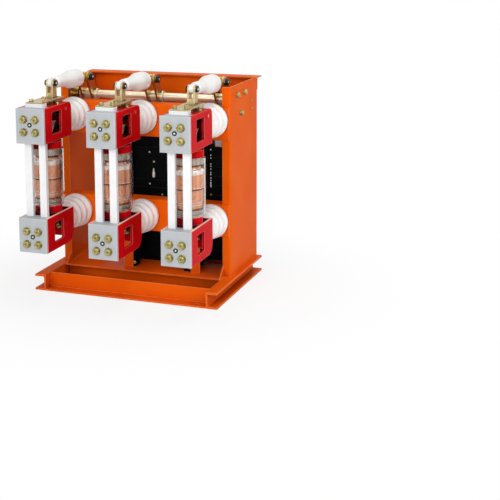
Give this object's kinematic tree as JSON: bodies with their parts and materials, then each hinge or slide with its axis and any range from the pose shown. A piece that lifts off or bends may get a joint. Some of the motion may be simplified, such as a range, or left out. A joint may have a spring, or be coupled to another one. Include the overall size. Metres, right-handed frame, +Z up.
{
  "type": "indoor vacuum circuit breaker",
  "caption": "Indoor vacuum circuit breaker: three glass-interrupter poles on post insulators, on a folded steel frame with a spring mechanism.",
  "frame": {"origin": "on the floor under the middle of the whole breaker", "axes": "+Z up, +Y from the terminals towards the back of the frame, +X along the main shaft to the right pole"},
  "size_m": [0.66, 0.652, 0.7447],
  "materials": {
    "orange_paint": "semi-gloss enamel",
    "red_bracket": "gloss moulded",
    "aluminium": "satin machined",
    "white_resin": "glossy",
    "white_laminate": "satin laminate",
    "white_rod": "gloss moulded",
    "yellow_zinc": "yellow zinc plated",
    "shaft_zinc": "yellow zinc plated, bright",
    "black_mechanism": "satin black",
    "clear_glass": "clear",
    "interrupter_metal": "copper shield between grey steel caps",
    "copper_stem": "bare copper"
  },
  "bodies": {
    "frame": {"base_channel_right": "orange_paint", "base_channel_left": "orange_paint", "base_angles": "orange_paint", "side_wall_right": "orange_paint", "side_wall_left": "orange_paint", "upper_crossbar": "orange_paint", "lower_crossbar": "orange_paint", "rear_rail": "orange_paint", "rear_panel": "orange_paint", "floor_pan": "orange_paint", "floor_struts": "orange_paint", "shaft_bearings": "shaft_zinc", "mechanism_body": "black_mechanism", "mechanism_plates": "black_mechanism", "auxiliary_switch": "black_mechanism", "cover_plates": "yellow_zinc", "left_terminals": "aluminium", "left_upper_bracket": "red_bracket", "left_lower_bracket": "red_bracket", "left_insulating_bars": "white_laminate", "left_post_insulators": "white_resin", "left_interrupter": "interrupter_metal", "left_glass_envelope": "clear_glass", "middle_terminals": "aluminium", "middle_upper_bracket": "red_bracket", "middle_lower_bracket": "red_bracket", "middle_insulating_bars": "white_laminate", "middle_post_insulators": "white_resin", "middle_interrupter": "interrupter_metal", "middle_glass_envelope": "clear_glass", "right_terminals": "aluminium", "right_upper_bracket": "red_bracket", "right_lower_bracket": "red_bracket", "right_insulating_bars": "white_laminate", "right_post_insulators": "white_resin", "right_interrupter": "interrupter_metal", "right_glass_envelope": "clear_glass"},
    "main_shaft": {"main_shaft": "shaft_zinc"},
    "left_lever": {"left_bell_crank": "yellow_zinc"},
    "left_rod": {"left_pull_rod": "white_rod"},
    "left_stem": {"left_moving_stem": "copper_stem"},
    "middle_lever": {"middle_bell_crank": "yellow_zinc"},
    "middle_rod": {"middle_pull_rod": "white_rod"},
    "middle_stem": {"middle_moving_stem": "copper_stem"},
    "right_lever": {"right_bell_crank": "yellow_zinc"},
    "right_rod": {"right_pull_rod": "white_rod"},
    "right_stem": {"right_moving_stem": "copper_stem"}
  },
  "joints": [
    {"name": "main_shaft_turn", "type": "hinge", "parent": "frame", "child": "main_shaft", "pos_m": [0, 0.135, 0.644], "axis": [1, 0, 0], "range_deg": [0, 22]},
    {"name": "left_lever_turn", "type": "hinge", "parent": "frame", "child": "left_lever", "pos_m": [-0.25, -0.166, 0.635], "axis": [1, 0, 0], "range_deg": [0, 15]},
    {"name": "left_rod_turn", "type": "hinge", "parent": "left_lever", "child": "left_rod", "pos_m": [-0.25, -0.166, 0.719], "axis": [1, 0, 0], "range_deg": [-20, 0]},
    {"name": "left_stem_slide", "type": "slide", "parent": "frame", "child": "left_stem", "axis": [0, 0, -1], "range_m": [0, 0.0105]},
    {"name": "middle_lever_turn", "type": "hinge", "parent": "frame", "child": "middle_lever", "pos_m": [0, -0.166, 0.635], "axis": [1, 0, 0], "range_deg": [0, 15]},
    {"name": "middle_rod_turn", "type": "hinge", "parent": "middle_lever", "child": "middle_rod", "pos_m": [0, -0.166, 0.719], "axis": [1, 0, 0], "range_deg": [-20, 0]},
    {"name": "middle_stem_slide", "type": "slide", "parent": "frame", "child": "middle_stem", "axis": [0, 0, -1], "range_m": [0, 0.0105]},
    {"name": "right_lever_turn", "type": "hinge", "parent": "frame", "child": "right_lever", "pos_m": [0.25, -0.166, 0.635], "axis": [1, 0, 0], "range_deg": [0, 15]},
    {"name": "right_rod_turn", "type": "hinge", "parent": "right_lever", "child": "right_rod", "pos_m": [0.25, -0.166, 0.719], "axis": [1, 0, 0], "range_deg": [-20, 0]},
    {"name": "right_stem_slide", "type": "slide", "parent": "frame", "child": "right_stem", "axis": [0, 0, -1], "range_m": [0, 0.0105]}
  ],
  "couplings": [
    {"joint": "left_lever_turn", "follows": "main_shaft_turn", "ratio": 0.6441},
    {"joint": "left_rod_turn", "follows": "main_shaft_turn", "ratio": -0.8397},
    {"joint": "left_stem_slide", "follows": "main_shaft_turn", "m_per_rad": 0.02678},
    {"joint": "middle_lever_turn", "follows": "main_shaft_turn", "ratio": 0.6441},
    {"joint": "middle_rod_turn", "follows": "main_shaft_turn", "ratio": -0.8397},
    {"joint": "middle_stem_slide", "follows": "main_shaft_turn", "m_per_rad": 0.02678},
    {"joint": "right_lever_turn", "follows": "main_shaft_turn", "ratio": 0.6441},
    {"joint": "right_rod_turn", "follows": "main_shaft_turn", "ratio": -0.8397},
    {"joint": "right_stem_slide", "follows": "main_shaft_turn", "m_per_rad": 0.02678}
  ]
}
